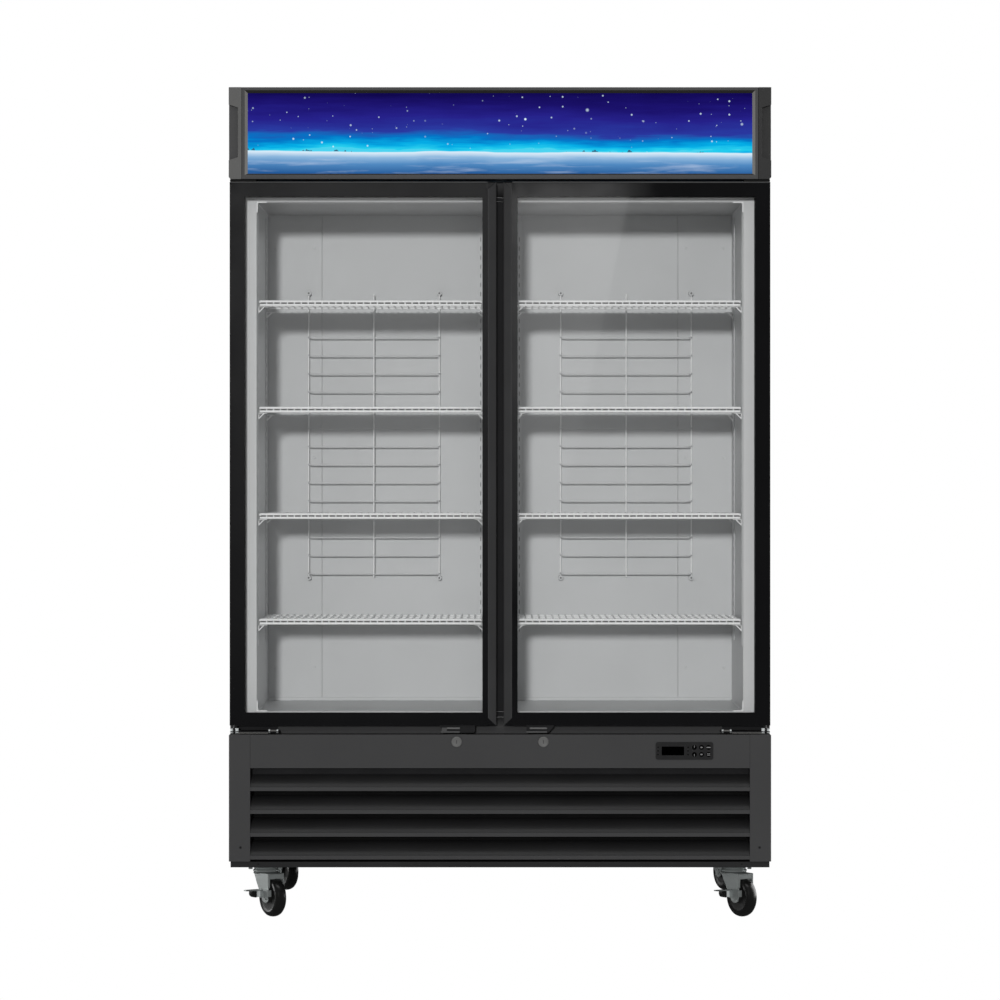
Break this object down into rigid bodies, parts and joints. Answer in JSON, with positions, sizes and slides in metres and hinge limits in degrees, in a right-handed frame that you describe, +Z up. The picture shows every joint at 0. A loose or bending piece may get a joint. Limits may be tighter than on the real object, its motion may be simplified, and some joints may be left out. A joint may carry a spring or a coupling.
{
  "type": "glass door merchandiser",
  "caption": "Upright two-door display refrigerator on casters: glass swing doors, wire shelves, sign header, louvred kick panel, key locks and a small controller.",
  "frame": {"origin": "on the floor under the middle of the cabinet's overall box", "axes": "+Z up, +X to the right of someone facing the doors, the doors face -Y"},
  "size_m": [1.35, 0.76, 2.07],
  "materials": {
    "dark_coat": "satin",
    "white_liner": "satin",
    "black_plastic": "satin",
    "hinge_black": "satin",
    "header_frame": "satin",
    "sign_panel": "gloss",
    "door_glass": "polished",
    "grip_black": "gloss",
    "gasket_rubber": "matte",
    "zinc_steel": "satin",
    "lock_metal": "satin",
    "white_wire": "satin",
    "keypad_plastic": "satin",
    "key_plastic": "satin",
    "coil_aluminium": "satin",
    "compressor_black": "gloss",
    "fan_plastic": "satin",
    "wheel_rubber": "matte"
  },
  "bodies": {
    "cabinet": {"cabinet_body": "dark_coat", "inner_liner": "white_liner", "rear_duct_panel": "white_liner", "centre_mullion": "black_plastic", "header_bezel": "header_frame", "header_graphic": "sign_panel", "header_end_cap_left": "header_frame", "header_end_cap_right": "header_frame", "top_hinge_left": "hinge_black", "bottom_hinge_left": "zinc_steel", "top_hinge_right": "hinge_black", "bottom_hinge_right": "zinc_steel", "front_grille": "dark_coat", "controller_housing": "keypad_plastic", "shelf_left_1": "white_wire", "shelf_left_2": "white_wire", "shelf_left_3": "white_wire", "shelf_left_4": "white_wire", "rear_guard_left": "white_wire", "shelf_right_1": "white_wire", "shelf_right_2": "white_wire", "shelf_right_3": "white_wire", "shelf_right_4": "white_wire", "rear_guard_right": "white_wire", "condenser_coil": "coil_aluminium", "compressor": "compressor_black", "evaporator_coil": "coil_aluminium", "base_frame": "dark_coat", "caster_plate_front_left": "zinc_steel", "caster_plate_front_right": "zinc_steel", "caster_plate_back_left": "zinc_steel", "caster_plate_back_right": "zinc_steel"},
    "door_left": {"door_left_frame": "black_plastic", "door_left_glass": "door_glass", "door_left_gasket": "gasket_rubber", "door_left_handle": "grip_black"},
    "door_right": {"door_right_frame": "black_plastic", "door_right_glass": "door_glass", "door_right_gasket": "gasket_rubber", "door_right_handle": "grip_black"},
    "lock_left": {"lock_left": "lock_metal"},
    "lock_right": {"lock_right": "lock_metal"},
    "key_up": {"key_up": "key_plastic"},
    "key_set": {"key_set": "key_plastic"},
    "key_power": {"key_power": "key_plastic"},
    "key_down": {"key_down": "key_plastic"},
    "key_defrost": {"key_defrost": "key_plastic"},
    "key_light": {"key_light": "key_plastic"},
    "condenser_fan": {"condenser_fan": "fan_plastic"},
    "evaporator_fan": {"evaporator_fan": "fan_plastic"},
    "caster_front_left": {"caster_fork_front_left": "zinc_steel"},
    "wheel_front_left": {"caster_wheel_front_left": "wheel_rubber"},
    "brake_front_left": {"caster_brake_front_left": "zinc_steel"},
    "caster_front_right": {"caster_fork_front_right": "zinc_steel"},
    "wheel_front_right": {"caster_wheel_front_right": "wheel_rubber"},
    "brake_front_right": {"caster_brake_front_right": "zinc_steel"},
    "caster_back_left": {"caster_fork_back_left": "zinc_steel"},
    "wheel_back_left": {"caster_wheel_back_left": "wheel_rubber"},
    "caster_back_right": {"caster_fork_back_right": "zinc_steel"},
    "wheel_back_right": {"caster_wheel_back_right": "wheel_rubber"}
  },
  "joints": [
    {"name": "door_left", "type": "hinge", "parent": "cabinet", "child": "door_left", "pos_m": [-0.66, -0.355, 0.48], "axis": [0, 0, -1], "range_deg": [0, 110], "stiffness_Nm_per_rad": 2, "springref_deg": -8.59},
    {"name": "door_right", "type": "hinge", "parent": "cabinet", "child": "door_right", "pos_m": [0.66, -0.355, 0.48], "axis": [0, 0, 1], "range_deg": [0, 110], "stiffness_Nm_per_rad": 2, "springref_deg": -8.59},
    {"name": "lock_left", "type": "hinge", "parent": "cabinet", "child": "lock_left", "pos_m": [-0.108, -0.37, 0.441], "axis": [0, 1, 0], "range_deg": [0, 90]},
    {"name": "lock_right", "type": "hinge", "parent": "cabinet", "child": "lock_right", "pos_m": [0.108, -0.37, 0.441], "axis": [0, -1, 0], "range_deg": [0, 90]},
    {"name": "key_up", "type": "slide", "parent": "cabinet", "child": "key_up", "axis": [0, 1, 0], "range_m": [0, 0.0007], "stiffness_N_per_m": 400},
    {"name": "key_set", "type": "slide", "parent": "cabinet", "child": "key_set", "axis": [0, 1, 0], "range_m": [0, 0.0007], "stiffness_N_per_m": 400},
    {"name": "key_power", "type": "slide", "parent": "cabinet", "child": "key_power", "axis": [0, 1, 0], "range_m": [0, 0.0007], "stiffness_N_per_m": 400},
    {"name": "key_down", "type": "slide", "parent": "cabinet", "child": "key_down", "axis": [0, 1, 0], "range_m": [0, 0.0007], "stiffness_N_per_m": 400},
    {"name": "key_defrost", "type": "slide", "parent": "cabinet", "child": "key_defrost", "axis": [0, 1, 0], "range_m": [0, 0.0007], "stiffness_N_per_m": 400},
    {"name": "key_light", "type": "slide", "parent": "cabinet", "child": "key_light", "axis": [0, 1, 0], "range_m": [0, 0.0007], "stiffness_N_per_m": 400},
    {"name": "condenser_fan", "type": "hinge", "parent": "cabinet", "child": "condenser_fan", "pos_m": [-0.26, -0.19, 0.295], "axis": [0, 1, 0], "continuous": true},
    {"name": "evaporator_fan", "type": "hinge", "parent": "cabinet", "child": "evaporator_fan", "pos_m": [0, 0.234, 1.52], "axis": [0, 0, 1], "continuous": true},
    {"name": "swivel_front_left", "type": "hinge", "parent": "cabinet", "child": "caster_front_left", "pos_m": [-0.587, -0.293, 0.115], "axis": [0, 0, 1], "continuous": true},
    {"name": "wheel_front_left", "type": "hinge", "parent": "caster_front_left", "child": "wheel_front_left", "pos_m": [-0.56903, -0.32068, 0.05], "axis": [0.8387, 0.5446, 0], "continuous": true},
    {"name": "brake_front_left", "type": "hinge", "parent": "caster_front_left", "child": "brake_front_left", "pos_m": [-0.58966, -0.33885, 0.052], "axis": [0.5446, -0.8387, 0], "range_deg": [0, 12]},
    {"name": "swivel_front_right", "type": "hinge", "parent": "cabinet", "child": "caster_front_right", "pos_m": [0.587, -0.293, 0.115], "axis": [0, 0, 1], "continuous": true},
    {"name": "wheel_front_right", "type": "hinge", "parent": "caster_front_right", "child": "wheel_front_right", "pos_m": [0.60497, -0.32068, 0.05], "axis": [0.8387, 0.5446, 0], "continuous": true},
    {"name": "brake_front_right", "type": "hinge", "parent": "caster_front_right", "child": "brake_front_right", "pos_m": [0.58434, -0.33885, 0.052], "axis": [0.5446, -0.8387, 0], "range_deg": [0, 12]},
    {"name": "swivel_back_left", "type": "hinge", "parent": "cabinet", "child": "caster_back_left", "pos_m": [-0.587, 0.327, 0.115], "axis": [0, 0, 1], "continuous": true},
    {"name": "wheel_back_left", "type": "hinge", "parent": "caster_back_left", "child": "wheel_back_left", "pos_m": [-0.57, 0.29871, 0.05], "axis": [0.8572, 0.515, 0], "continuous": true},
    {"name": "swivel_back_right", "type": "hinge", "parent": "cabinet", "child": "caster_back_right", "pos_m": [0.587, 0.327, 0.115], "axis": [0, 0, 1], "continuous": true},
    {"name": "wheel_back_right", "type": "hinge", "parent": "caster_back_right", "child": "wheel_back_right", "pos_m": [0.60042, 0.29685, 0.05], "axis": [0.9135, 0.4067, 0], "continuous": true}
  ]
}
